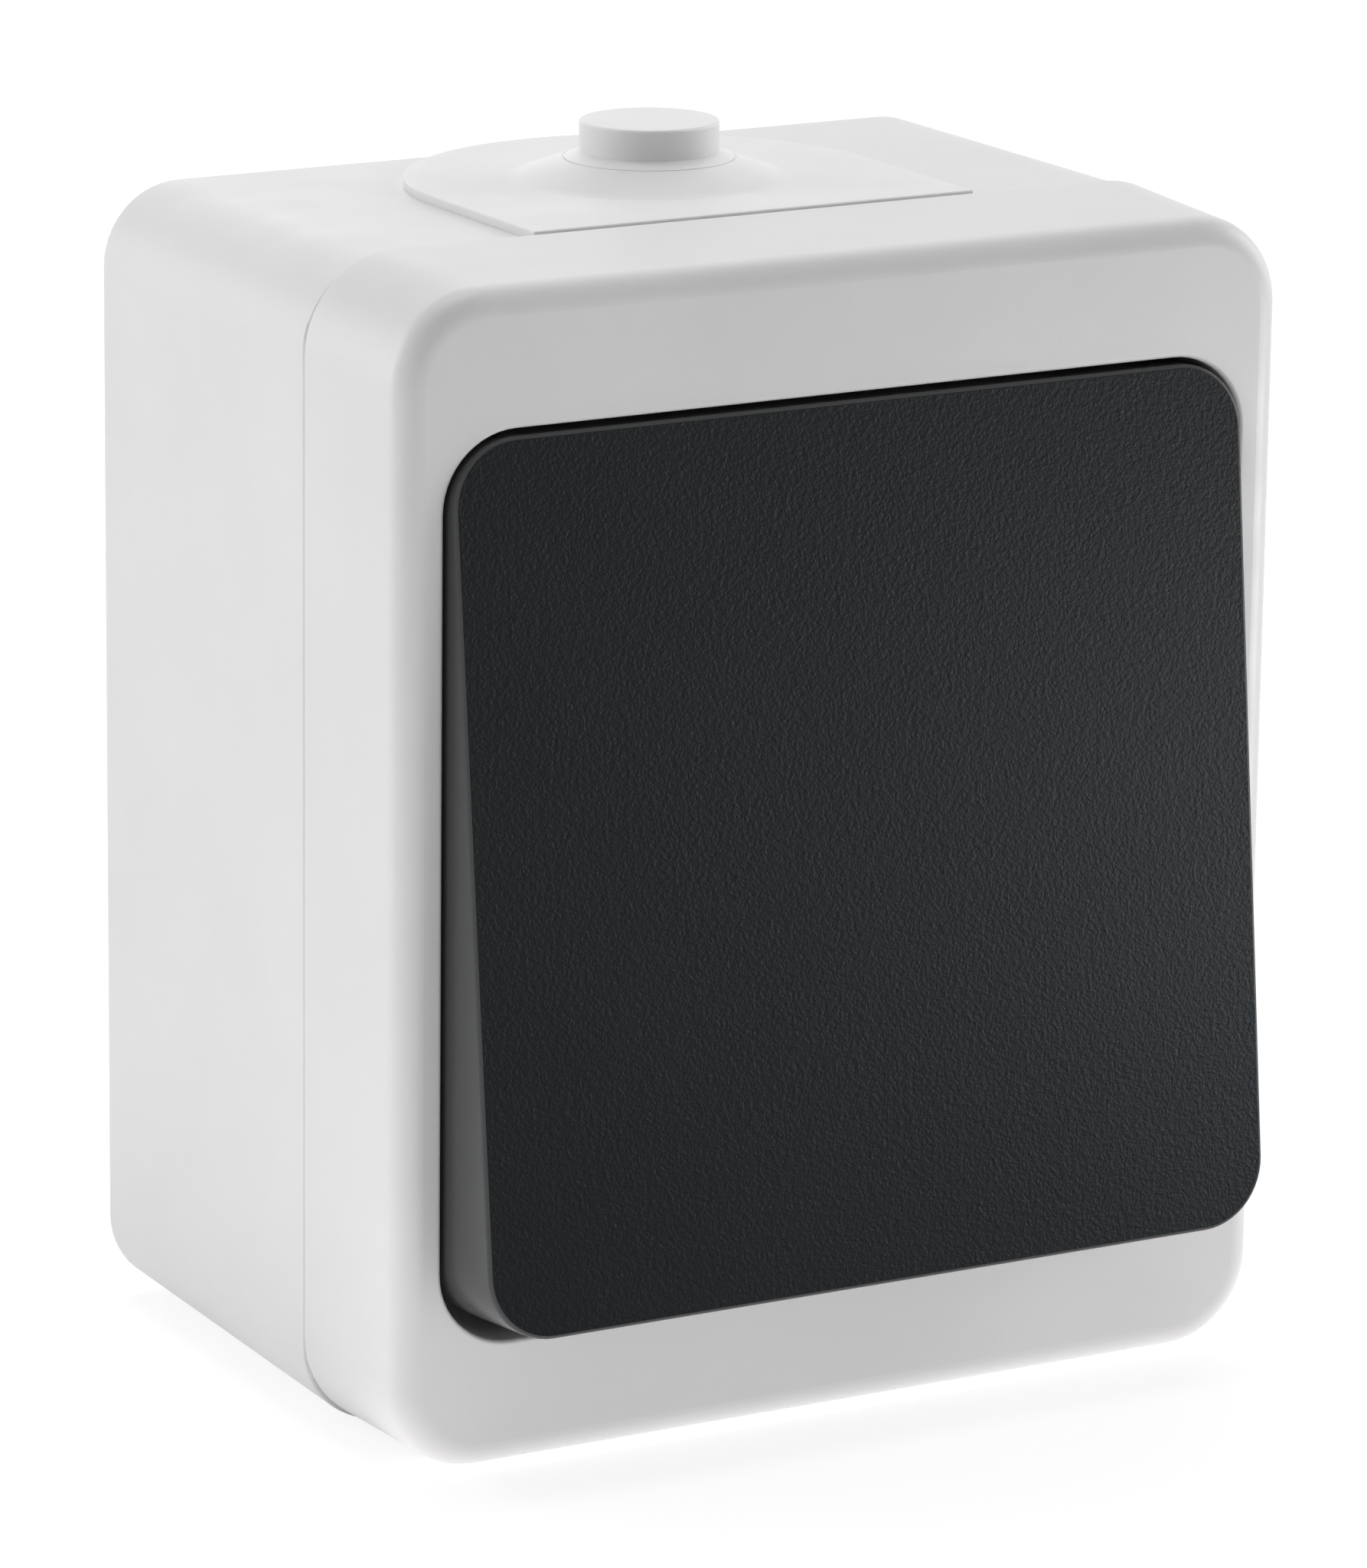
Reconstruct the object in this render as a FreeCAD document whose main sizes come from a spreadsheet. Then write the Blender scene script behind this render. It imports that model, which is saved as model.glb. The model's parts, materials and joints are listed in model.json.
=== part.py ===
"""A surface-mounted, splash-proof light switch.

Millimetres. X runs to the right, Y into the wall and Z up. The origin is the middle of the back face,
which lies on the wall. Depths called "out" are measured from the wall, so out is minus Y.
At rest the top of the rocker is pressed in.
"""
import FreeCAD, Part
import math
import os
import re

import Sketcher

SIZES = {
    # Box
    "box_wide": 66.8,
    "box_high": 79.2,
    "box_depth": 31.7,
    "box_corner": 6.0,
    "box_draft": 0.8,
    "back_edge": 0.4,
    "seam_edge": 0.2,
    "box_wall": 2.4,
    "back_wall": 2.6,
    "wall_hole_spacing": 56,
    "wall_hole_radius": 2.3,
    "wall_hole_rim": 1.6,
    "wall_hole_rim_high": 1.4,
    "post_wall": 2.2,
    # Cover
    "cover_depth": 13.0,
    "cover_step": 0.5,
    "cover_corner": 6.6,
    "cover_taper": 2.0,
    "cover_edge": 1.8,
    "frame_side": 3.55,
    "frame_end": 9.05,
    "frame_land": 0.1,
    "opening_corner": 5.2,
    "opening_edge": 0.3,
    "recess_depth": 9.7,
    "floor_thick": 1.8,
    "lip_gap": 0.3,
    "lip_thick": 1.2,
    "lip_long": 2.5,
    # Seal in the rim of the box
    "seal_inset": 0.7,
    "seal_wide": 1.0,
    "seal_deep": 1.3,
    "seal_gap": 0.05,
    # Cable grommet
    "slot_radius": 11.6,
    "slot_gap": 0.15,
    "plate_back": 0.1,
    "plate_overlap": 5.0,
    "plate_thick": 0.65,
    "plate_edge": 0.12,
    "flange_overlap": 1.8,
    "flange_thick": 1.2,
    "dome_radius": 9.2,
    "dome_high": 2.4,
    "dome_blend": 2.5,
    "ring_radius": 5.9,
    "ring_wide": 0.1,
    "ring_deep": 0.05,
    "nipple_radius": 4.75,
    "nipple_high": 4.5,
    "nipple_edge": 0.18,
    "grommet_wall": 1.1,
    # Rocker
    "rocker_tilt": 6.2,
    "pivot_inset": 4.5,
    "face_out": 8.0,
    "rocker_gap": 0.35,
    "rocker_end_gap": 1.1,
    "rocker_corner": 4.6,
    "rocker_edge": 0.3,
    "face_thick": 1.8,
    "skirt_gap": 0.6,
    "skirt_thick": 1.4,
    "rib_thick": 1.2,
    "rib_deep": 2.4,
    "rib_place": 17.0,
    "leg_place": 6.5,
    "leg_wide": 3.0,
    "leg_high": 5.0,
    "leg_gap": 0.1,
    "hook_reach": 0.6,
    "hook_thick": 1.0,
    # Inner rocker
    "inner_wide": 19.6,
    "inner_high": 16.0,
    "inner_corner": 1.2,
    "inner_front": 3.6,
    "inner_rear": 2.0,
    "trunnion_radius": 1.75,
    "trunnion_gap": 0.06,
    "cheek_gap": 0.3,
    "cheek_thick": 2.6,
    "cheek_rim": 1.15,
    "tube_rear": 7.0,
    "tube_wall": 1.1,
    "spring_seat": 1.2,
    # Boot
    "boot_thick": 0.8,
    "boot_gap": 0.05,
    "boot_side_gap": 0.7,
    "boot_end_gap": 1.6,
    "boot_lean": 0.6,
    "boot_flange": 3.0,
    "window_gap": 1.0,
    # Switch mechanism
    "insert_side": 4.3,
    "insert_depth": 18.0,
    "insert_corner": 2.0,
    "insert_floor": 3.0,
    "chamber_wide": 26.4,
    "chamber_high": 24.0,
    "cap_lap": 0.8,
    "cap_thick": 2.0,
    "cap_window_wide": 9.0,
    "cap_window_high": 10.0,
    "rivet_radius": 1.2,
    "rivet_head_radius": 2.0,
    "rivet_head_thick": 0.8,
    "ear_reach": 7.8,
    "ear_high": 8.0,
    "ear_thick": 3.0,
    "ear_place": 10.0,
    # Contacts and terminals
    "sheet_thick": 1.2,
    "sheet_wide": 5.2,
    "sheet_gap": 0.1,
    "contact_place": 8.0,
    "contact_radius": 1.6,
    "contact_thick": 0.9,
    "contact_gap": 0.074,
    "fixed_contact_thick": 0.8,
    "sheet_rim": 0.6,
    "sheet_side": 0.6,
    "blade_tilt": 10.5,
    "blade_wide": 5.8,
    "blade_rim": 0.2,
    "blade_thick": 1.0,
    "blade_corner": 1.0,
    "blade_pin_radius": 0.8,
    "blade_pin_gap": 0.05,
    "blade_side_gap": 0.3,
    "lug_thick": 1.2,
    "lug_high": 4.4,
    "lug_rim": 1.2,
    "stud_gap": 0.15,
    "stud_high": 1.6,
    "clamp_wide": 7.6,
    "clamp_long": 4.4,
    "clamp_base": 0.8,
    "clamp_front": 2.6,
    "clamp_mouth": 3.8,
    "clamp_wall": 1.0,
    "clamp_gap": 0.8,
    "clamp_end_gap": 0.6,
    "terminal_wall": 1.0,
    # Spring
    "spring_radius": 1.5,
    "spring_wire": 0.25,
    "spring_turns": 6.5,
    "spring_play": 0.85,
    "spring_end_gap": 0.4,
    # Screws
    "screw_radius": 1.45,
    "screw_gap": 0.05,
    "screw_clearance": 0.25,
    "screw_head_radius": 3.0,
    "screw_head_high": 2.0,
    "screw_slot_wide": 0.8,
    "screw_slot_deep": 0.9,
    "cover_screw_inset": 6.25,
    "cover_screw_long": 14.0,
    "insert_screw_long": 9.0,
    "clamp_screw_radius": 1.5,
    "clamp_screw_head_radius": 2.4,
    "clamp_screw_head_high": 1.6,
    "clamp_screw_lift": 1.6,
    "wire_gap": 1.0,
}

# Depths and half sizes that several pieces share, worked out from the sizes above
SHARED = {
    "opening_wide": "(box_wide - 2 * frame_side)",
    "opening_high": "(box_high - 2 * frame_end)",
    "cover_front": "(box_depth + cover_depth)",
    "floor_front": "(box_depth + cover_depth - recess_depth)",
    "floor_rear": "(box_depth + cover_depth - recess_depth - floor_thick)",
    "pivot_out": "(box_depth + cover_depth - pivot_inset)",
    "cap_front": "(floor_rear - boot_thick)",
    "cap_rear": "(cap_front - cap_thick)",
    "insert_rear": "(cap_rear - insert_depth)",
    "chamber_floor": "(insert_rear + insert_floor)",
    "sheet_front": "(chamber_floor + sheet_thick)",
    "contact_deep": "(blade_thick / 2 + contact_thick)",
    "contact_drop": "((contact_place + contact_radius) * sin(blade_tilt))",
    "fixed_front": "(sheet_front + fixed_contact_thick)",
    "blade_pivot": "(fixed_front + contact_gap + contact_deep * cos(blade_tilt) + contact_drop)",
    "blade_long": "(2 * (contact_place + contact_radius + blade_rim))",
    "fixed_contact_place": "(contact_place * cos(blade_tilt) - contact_deep * sin(blade_tilt))",
    "fixed_start": "(fixed_contact_place - contact_radius - sheet_rim)",
    "common_place": "(chamber_wide / 2 - sheet_wide / 2 - sheet_side)",
    "clamp_rear": "(chamber_floor - clamp_base)",
    "rocker_wide": "(opening_wide - 2 * rocker_gap)",
    "rocker_high": "(opening_high - 2 * rocker_end_gap)",
    "skirt_drop": "(rocker_high / 2 * sin(rocker_tilt))",
    "skirt_rear": "((pivot_out - floor_front - skirt_gap - skirt_drop) / cos(rocker_tilt))",
    "face_rear": "(face_out - face_thick)",
    "crown_front": "(inner_front + boot_gap + boot_thick)",
    "cheek_in": "(inner_wide / 2 + cheek_gap)",
    "cheek_out": "(inner_wide / 2 + cheek_gap + cheek_thick)",
    "boot_base_wide": "(2 * cheek_out + 2 * boot_side_gap)",
    "boot_base_high": "(inner_high + 2 * boot_end_gap)",
    "tube_bore": "(spring_radius + spring_wire + spring_play)",
    "tube_radius": "(tube_bore + tube_wall)",
    "stud_radius": "(spring_radius - spring_wire - stud_gap)",
    "insert_wide": "(chamber_wide + 2 * insert_side)",
    "terminal_start": "(chamber_high / 2 + terminal_wall)",
    "insert_high": "(2 * terminal_start + 2 * (clamp_long + clamp_end_gap))",
    "cap_high": "(chamber_high + 2 * cap_lap)",
    "rivet_place": "((chamber_wide + insert_wide) / 4)",
    "terminal_wide": "(clamp_wide + 2 * clamp_gap)",
    "ear_x": "(insert_wide / 2 + ear_reach / 2)",
    "lug_in": "(blade_wide / 2 + blade_side_gap)",
    "cover_screw_x": "(opening_wide / 2 - cover_screw_inset)",
    "cover_screw_z": "(opening_high / 2 - cover_screw_inset)",
    "grommet_out": "(slot_radius + plate_overlap + plate_back)",
    "inner_box_wide": "(box_wide - 2 * box_wall)",
    "inner_box_high": "(box_high - 2 * box_wall)",
}

doc = FreeCAD.newDocument("weatherproof_switch")
sheet = doc.addObject("Spreadsheet::Sheet", "Sizes")
for row, (alias, number) in enumerate(SIZES.items(), start=1):
    sheet.set(f"A{row}", alias)
    sheet.set(f"B{row}", str(number))
    sheet.setAlias(f"B{row}", alias)
gauge = doc.addObject("App::FeaturePython", "Gauge")
gauge.addProperty("App::PropertyFloat", "reading")
doc.recompute()

parts = []
ROUNDING = 0.001
TURN = FreeCAD.Rotation(FreeCAD.Vector(-1, 0, 0), 1)


def formula(text):
    """Write a formula's shared words out in full, and its sizes as cells of the sheet."""
    words = r"[a-z_]+"
    while any(word in SHARED for word in re.findall(words, text)):
        text = re.sub(words, lambda match: SHARED.get(match.group(), match.group()), text)
    return re.sub(words, lambda match: ("Sizes." if match.group() in SIZES else "") + match.group(), text)


def measure(text):
    """Return the value that a formula has now."""
    gauge.setExpression("reading", formula(text))
    gauge.recompute()
    return gauge.reading


def bind(thing, **formulas):
    """Bind properties of an object to formulas. Two underscores in a name stand for a dot."""
    for name, text in formulas.items():
        thing.setExpression(name.replace("__", "."), formula(text))


def new_body(name, shown=True):
    """Start a piece, and list it among the parts that are written if it is one."""
    body = doc.addObject("PartDesign::Body", name)
    if shown:
        parts.append(body)
    return body


def new_group(name, bodies):
    """Join like pieces that stay separate solids into one part."""
    group = doc.addObject("Part::Compound", name)
    group.Links = bodies
    parts.append(group)
    return group


def tilt_body(body, out, turn):
    """Set a body's own frame on an axis along X at this depth, turned so that its top goes in."""
    body.Placement = FreeCAD.Placement(FreeCAD.Vector(0, -1, 0), TURN)
    bind(body, Placement__Base__y=f"-({out})", Placement__Rotation__Angle=turn)


def new_sketch(body, plane, at):
    """Attach a sketch to one of the body's own planes, moved along its x, y and normal."""
    drawing = body.newObject("Sketcher::SketchObject", "Sketch")
    support = next(item for item in body.Origin.OriginFeatures if item.Role == plane + "_Plane")
    drawing.AttachmentSupport = [(support, "")]
    drawing.MapMode = "FlatFace"
    for axis, text in zip("xyz", at):
        drawing.setExpression("AttachmentOffset.Base." + axis, formula(text))
    return drawing


def constrain(drawing, kind, *where):
    """Add one constraint and return its number."""
    return drawing.addConstraint(Sketcher.Constraint(kind, *where))


def drive(drawing, kind, where, text):
    """Add one dimension to a sketch and bind it to a formula."""
    index = constrain(drawing, kind, *where, measure(text))
    drawing.setExpression(f"Constraints[{index}]", formula(text))


def draw_rectangle(drawing, wide, high, corner=None):
    """Draw a rectangle about the sketch's origin, with round corners if a radius is given."""
    first = drawing.GeometryCount
    half_x = measure(wide) / 2
    half_y = measure(high) / 2
    radius = measure(corner) if corner else 0
    ends = [(half_x, half_y), (-half_x, half_y), (-half_x, -half_y), (half_x, -half_y)]
    inner = [(math.copysign(abs(x) - radius, x), math.copysign(abs(y) - radius, y)) for x, y in ends]
    for side in range(4):
        (ax, ay), (bx, by) = inner[side], inner[(side + 1) % 4]
        turn = math.radians(90 * (side + 1))
        shift = FreeCAD.Vector(math.cos(turn), math.sin(turn), 0) * radius
        start = FreeCAD.Vector(ax, ay, 0) + shift
        drawing.addGeometry(Part.LineSegment(start, FreeCAD.Vector(bx, by, 0) + shift), False)
    if corner:
        for side in range(4):
            centre = FreeCAD.Vector(*inner[(side + 1) % 4], 0)
            ring = Part.Circle(centre, FreeCAD.Vector(0, 0, 1), radius)
            begin = math.radians(90 * (side + 1))
            drawing.addGeometry(Part.ArcOfCircle(ring, begin, begin + math.pi / 2), False)
    lines = [first + side for side in range(4)]
    arcs = [first + 4 + side for side in range(4)]
    for side in range(4):
        following = lines[(side + 1) % 4]
        if corner:
            constrain(drawing, "Tangent", lines[side], 2, arcs[side], 1)
            constrain(drawing, "Tangent", arcs[side], 2, following, 1)
        else:
            constrain(drawing, "Coincident", lines[side], 2, following, 1)
        constrain(drawing, "Vertical" if side % 2 else "Horizontal", lines[side])
    if corner:
        for arc in arcs[1:]:
            constrain(drawing, "Equal", arcs[0], arc)
        constrain(drawing, "Symmetric", arcs[0], 3, arcs[2], 3, -1, 1)
        drive(drawing, "Radius", (arcs[0],), corner)
    else:
        constrain(drawing, "Symmetric", lines[0], 1, lines[2], 1, -1, 1)
    drive(drawing, "DistanceX", (lines[1], 1, lines[3], 1), wide)
    drive(drawing, "DistanceY", (lines[2], 1, lines[0], 1), high)


def draw_circle(drawing, radius):
    """Draw a circle about the sketch's origin."""
    ring = Part.Circle(FreeCAD.Vector(), FreeCAD.Vector(0, 0, 1), measure(radius))
    index = drawing.addGeometry(ring, False)
    constrain(drawing, "Coincident", index, 3, -1, 1)
    drive(drawing, "Radius", (index,), radius)


def draw_tongue(drawing, radius, front):
    """Draw a half circle about the sketch's origin that runs on straight to a flat front."""
    reach = measure(radius)
    nose = -measure(front)
    corners = [FreeCAD.Vector(-reach, 0, 0), FreeCAD.Vector(-reach, nose, 0), FreeCAD.Vector(reach, nose, 0),
               FreeCAD.Vector(reach, 0, 0)]
    ring = Part.Circle(FreeCAD.Vector(), FreeCAD.Vector(0, 0, 1), reach)
    drawing.addGeometry(Part.ArcOfCircle(ring, 0, math.pi), False)
    for start, end in zip(corners, corners[1:]):
        drawing.addGeometry(Part.LineSegment(start, end), False)
    constrain(drawing, "Coincident", 0, 3, -1, 1)
    constrain(drawing, "Tangent", 0, 2, 1, 1)
    constrain(drawing, "Coincident", 1, 2, 2, 1)
    constrain(drawing, "Coincident", 2, 2, 3, 1)
    constrain(drawing, "Tangent", 3, 2, 0, 1)
    constrain(drawing, "Horizontal", 2)
    constrain(drawing, "Vertical", 1)
    constrain(drawing, "Vertical", 3)
    drive(drawing, "Radius", (0,), radius)
    drive(drawing, "DistanceY", (1, 2, -1, 1), front)


def extrude(body, drawing, depth, cut=False, backward=False, taper=None):
    """Pad or cut a sketch along its normal, or backward. A taper narrows it by that angle."""
    feature = body.newObject("PartDesign::Pocket" if cut else "PartDesign::Pad", "Cut" if cut else "Pad")
    feature.Profile = drawing
    feature.Reversed = cut != backward
    bind(feature, Length=depth)
    if taper:
        bind(feature, TaperAngle=f"-({taper})")
    doc.recompute()
    return feature


def block(body, wide, high, at, depth, corner=None, plane="XZ", **how):
    """Pad or cut a rectangle, by default one that faces out from the wall."""
    drawing = new_sketch(body, plane, at)
    draw_rectangle(drawing, wide, high, corner)
    return extrude(body, drawing, depth, **how)


def frame(body, outer, inner, at, depth, **how):
    """Pad or cut the strip between two round-cornered rectangles."""
    drawing = new_sketch(body, "XZ", at)
    draw_rectangle(drawing, *outer)
    draw_rectangle(drawing, *inner)
    return extrude(body, drawing, depth, **how)


def rod(body, radius, at, depth, plane="XZ", **how):
    """Pad or cut a circle, by default one that faces out from the wall."""
    drawing = new_sketch(body, plane, at)
    draw_circle(drawing, radius)
    return extrude(body, drawing, depth, **how)


def round_edges(body, radius, wanted):
    """Round those edges of a body that a test of their box picks."""
    base = body.Tip
    names = [f"Edge{n}" for n, edge in enumerate(base.Shape.Edges, start=1) if wanted(edge.BoundBox)]
    fillet = body.newObject("PartDesign::Fillet", "Fillet")
    fillet.Base = (base, names)
    bind(fillet, Radius=radius)
    doc.recompute()


def is_near(value, target):
    """Tell whether two lengths are the same, apart from rounding."""
    return abs(value - target) < ROUNDING


def round_rim(body, radius, y):
    """Round all edges of a body that lie in one plane across the depth."""
    round_edges(body, radius, lambda box: is_near(box.YMin, y) and is_near(box.YMax, y))


# Places that repeat: two diagonal cover screws, two diagonal ears and three terminals
COVER_SCREWS = [("-cover_screw_x", "cover_screw_z"), ("cover_screw_x", "-cover_screw_z")]
EARS = [("-ear_x", "ear_place"), ("ear_x", "-ear_place")]
RIVETS = [("-rivet_place", "0"), ("rivet_place", "0")]
TERMINALS = [("0", 1), ("common_place", 1), ("0", -1)]
SIDES = (-1, 1)


def make_rear_box():
    """The box on the wall: drafted walls, posts for the screws and a slot for the grommet."""
    body = new_body("rear_box")
    seam = ("0", "0", "box_depth")
    block(body, "box_wide", "box_high", seam, "box_depth", "box_corner", backward=True, taper="box_draft")
    round_rim(body, "seam_edge", -measure("box_depth"))
    round_rim(body, "back_edge", 0)
    block(body, "inner_box_wide", "inner_box_high", seam, "box_depth - back_wall", "box_corner - box_wall",
          cut=True, backward=True, taper="box_draft")
    groove_out = ("box_wide - 2 * seal_inset", "box_high - 2 * seal_inset", "box_corner - seal_inset")
    groove_in = tuple(f"{text} - {share} * seal_wide" for text, share in zip(groove_out, (2, 2, 1)))
    frame(body, groove_out, groove_in, seam, "seal_deep", cut=True, backward=True)
    hole = "screw_radius + screw_gap"
    post = f"{hole} + post_wall"
    for x, z in COVER_SCREWS:
        rod(body, post, (x, z, "back_wall"), "floor_rear - back_wall")
        rod(body, hole, (x, z, "floor_rear"), "cover_screw_long", cut=True, backward=True)
    for x, z in EARS:
        rod(body, post, (x, z, "back_wall"), "insert_rear - back_wall")
        rod(body, hole, (x, z, "insert_rear"), "insert_screw_long", cut=True, backward=True)
    for side in SIDES:
        place = ("0", f"{side} * wall_hole_spacing / 2", "back_wall")
        rod(body, "wall_hole_radius + wall_hole_rim", place, "wall_hole_rim_high")
        rod(body, "wall_hole_radius", (*place[:2], "0"), "back_wall + wall_hole_rim_high", cut=True)
    under = "inner_box_high / 2 - flange_overlap"
    rod(body, "slot_radius", ("0", "-grommet_out", under), "box_high / 2", plane="XY", cut=True)
    mouth = ("0", "-box_depth", under)
    block(body, "2 * slot_radius", "2 * (box_depth - grommet_out)", mouth, "box_high / 2", plane="XY",
          cut=True)


def make_front_cover():
    """The cover: a frame with rounded front edges, a recess for the rocker and a lip into the box."""
    body = new_body("front_cover")
    rear = ("0", "cover_step / 2", "box_depth")
    block(body, "box_wide", "box_high + cover_step", rear, "cover_depth", "cover_corner", taper="cover_taper")
    front = -measure("cover_front")
    land = "frame_side - cover_depth * tan(cover_taper) - opening_edge - frame_land"
    round_rim(body, f"min(cover_edge; {land})", front)
    round_rim(body, "seam_edge", -measure("box_depth"))
    block(body, "opening_wide", "opening_high", ("0", "0", "cover_front"), "recess_depth", "opening_corner",
          cut=True, backward=True)
    edge_x = measure("opening_wide / 2")
    edge_z = measure("opening_high / 2")
    round_edges(body, "opening_edge", lambda box: is_near(box.YMin, front) and is_near(box.YMax, front)
                and max(-box.XMin, box.XMax) < edge_x + ROUNDING
                and max(-box.ZMin, box.ZMax) < edge_z + ROUNDING)
    lip = ("inner_box_wide - 2 * lip_gap", "inner_box_high - 2 * lip_gap", "box_corner - box_wall - lip_gap")
    hollow = tuple(f"{text} - {share} * lip_thick" for text, share in zip(lip, (2, 2, 1)))
    block(body, *hollow[:2], ("0", "0", "box_depth"), "floor_rear - box_depth", hollow[2], cut=True)
    frame(body, lip, hollow, ("0", "0", "box_depth"), "lip_long", backward=True)
    block(body, "boot_base_wide + 2 * boot_thick + 2 * window_gap",
          "boot_base_high + 2 * boot_thick + 2 * window_gap", ("0", "0", "floor_rear"), "floor_thick",
          "boot_thick + window_gap", cut=True)
    for x, z in COVER_SCREWS:
        rod(body, "screw_radius + screw_clearance", (x, z, "floor_rear"), "floor_thick", cut=True)


def make_rocker():
    """The rocker cap, in a frame on its pivot: a thin shell with ribs and two snap legs."""
    body = new_body("rocker")
    tilt_body(body, "pivot_out", "rocker_tilt")
    rear = ("0", "0", "-skirt_rear")
    block(body, "rocker_wide", "rocker_high", rear, "skirt_rear + face_out", "rocker_corner")
    round_rim(body, "rocker_edge", -measure("face_out"))
    block(body, "rocker_wide - 2 * skirt_thick", "rocker_high - 2 * skirt_thick", rear,
          "skirt_rear + face_rear", "rocker_corner - skirt_thick", cut=True)
    for side in SIDES:
        block(body, "rib_thick", "rocker_high - 2 * skirt_thick", (f"{side} * rib_place", "0", "face_rear"),
              "rib_deep", backward=True)
        leg = f"{side} * leg_place"
        tip = "inner_rear + boot_gap + hook_thick"
        block(body, "leg_wide", "leg_high", (leg, "0", f"-({tip})"), f"face_rear + {tip}")
        hook = f"{side} * (leg_place + leg_wide / 2 + hook_reach / 2)"
        block(body, "hook_reach", "leg_high", (hook, "0", f"-({tip})"), "hook_thick")
    seat = ("inner_wide", "inner_high", "inner_corner")
    hole = tuple(f"{text} - {share} * rib_thick" for text, share in zip(seat, (2, 2, 0.5)))
    frame(body, seat, hole, ("0", "0", "crown_front + boot_gap"), "face_rear - crown_front - boot_gap")


def make_inner_rocker():
    """The actuator under the rocker: trunnions, two sockets for the legs and a tube for the spring."""
    body = new_body("inner_rocker")
    tilt_body(body, "pivot_out", "rocker_tilt")
    rear = ("0", "0", "-inner_rear")
    block(body, "inner_wide", "inner_high", rear, "inner_rear + inner_front", "inner_corner")
    rod(body, "tube_radius", ("0", "0", "-tube_rear"), "tube_rear - inner_rear")
    rod(body, "trunnion_radius", ("0", "0", "-cheek_out"), "2 * cheek_out", plane="YZ")
    rod(body, "tube_bore", ("0", "0", "-tube_rear"), "tube_rear - spring_seat", cut=True)
    for side in SIDES:
        socket = (f"{side} * leg_place", "0", "-inner_rear")
        block(body, "leg_wide + 2 * leg_gap", "leg_high + 2 * leg_gap", socket, "inner_rear + inner_front",
              cut=True)


def make_rocker_boot():
    """The rubber boot: a flange under the cover's floor and a tilted crown under the rocker."""
    body = new_body("rocker_boot")
    rim = "2 * (boot_thick + window_gap + boot_flange)"
    block(body, f"boot_base_wide + {rim}", f"boot_base_high + {rim}", ("0", "0", "cap_front"), "boot_thick",
          "boot_flange")

    def crown(wide, high, corner, lift, x="0"):
        """Draw a rectangle on the crown's tilted plane."""
        rise = f"pivot_out + ({lift}) * cos(rocker_tilt)"
        drawing = new_sketch(body, "XZ", (x, f"({lift}) * sin(rocker_tilt)", rise))
        drawing.AttachmentOffset = FreeCAD.Placement(drawing.AttachmentOffset.Base, TURN)
        drawing.setExpression("AttachmentOffset.Rotation.Angle", formula("rocker_tilt"))
        draw_rectangle(drawing, wide, high, corner)
        return drawing

    def skin(kind, grow, base_out, lift):
        """Loft between a rectangle on the flange and one on the crown."""
        wide = f"boot_base_wide + 2 * ({grow})"
        high = f"boot_base_high + 2 * ({grow})"
        corner = f"inner_corner + {grow}"
        base = new_sketch(body, "XZ", ("0", "0", base_out))
        draw_rectangle(base, wide, high, corner)
        top = crown(f"{wide} - boot_lean", f"{high} - 2 * boot_lean", corner, lift)
        loft = body.newObject(kind, "Loft")
        loft.Profile = base
        loft.Sections = [(top, [""])]
        loft.Ruled = True
        doc.recompute()

    skin("PartDesign::AdditiveLoft", "boot_thick", "floor_rear", "crown_front")
    skin("PartDesign::SubtractiveLoft", "0", "cap_front", "inner_front + boot_gap")
    for side in SIDES:
        place = f"{side} * leg_place"
        drawing = crown("leg_wide + 4 * leg_gap", "leg_high + 4 * leg_gap", None, "crown_front", place)
        extrude(body, drawing, "2 * boot_thick", cut=True, backward=True)


def make_insert_cap():
    """The cap of the mechanism, with two bearing cheeks for the trunnions."""
    body = new_body("insert_cap")
    block(body, "insert_wide", "cap_high", ("0", "0", "cap_rear"), "cap_thick", "insert_corner")
    cheek = "trunnion_radius + trunnion_gap + cheek_rim"
    for side in SIDES:
        middle = f"{side} * (cheek_in + cheek_out) / 2"
        block(body, "cheek_thick", f"2 * ({cheek})", (middle, "0", "cap_front"), "pivot_out - cap_front")
        start = "cheek_in" if side > 0 else "-cheek_out"
        rod(body, cheek, ("-pivot_out", "0", start), "cheek_thick", plane="YZ")
    bore = "trunnion_radius + trunnion_gap"
    rod(body, bore, ("-pivot_out", "0", "-cheek_out"), "2 * cheek_out", plane="YZ", cut=True)
    block(body, "cap_window_wide", "cap_window_high", ("0", "0", "cap_rear"), "cap_thick", "insert_corner",
          cut=True)
    for x, z in RIVETS:
        rod(body, "rivet_radius + screw_gap", (x, z, "cap_rear"), "cap_thick", cut=True)
        rod(body, "rivet_head_radius + screw_gap", (x, z, "cap_front"), "rivet_head_thick", cut=True,
            backward=True)


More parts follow.
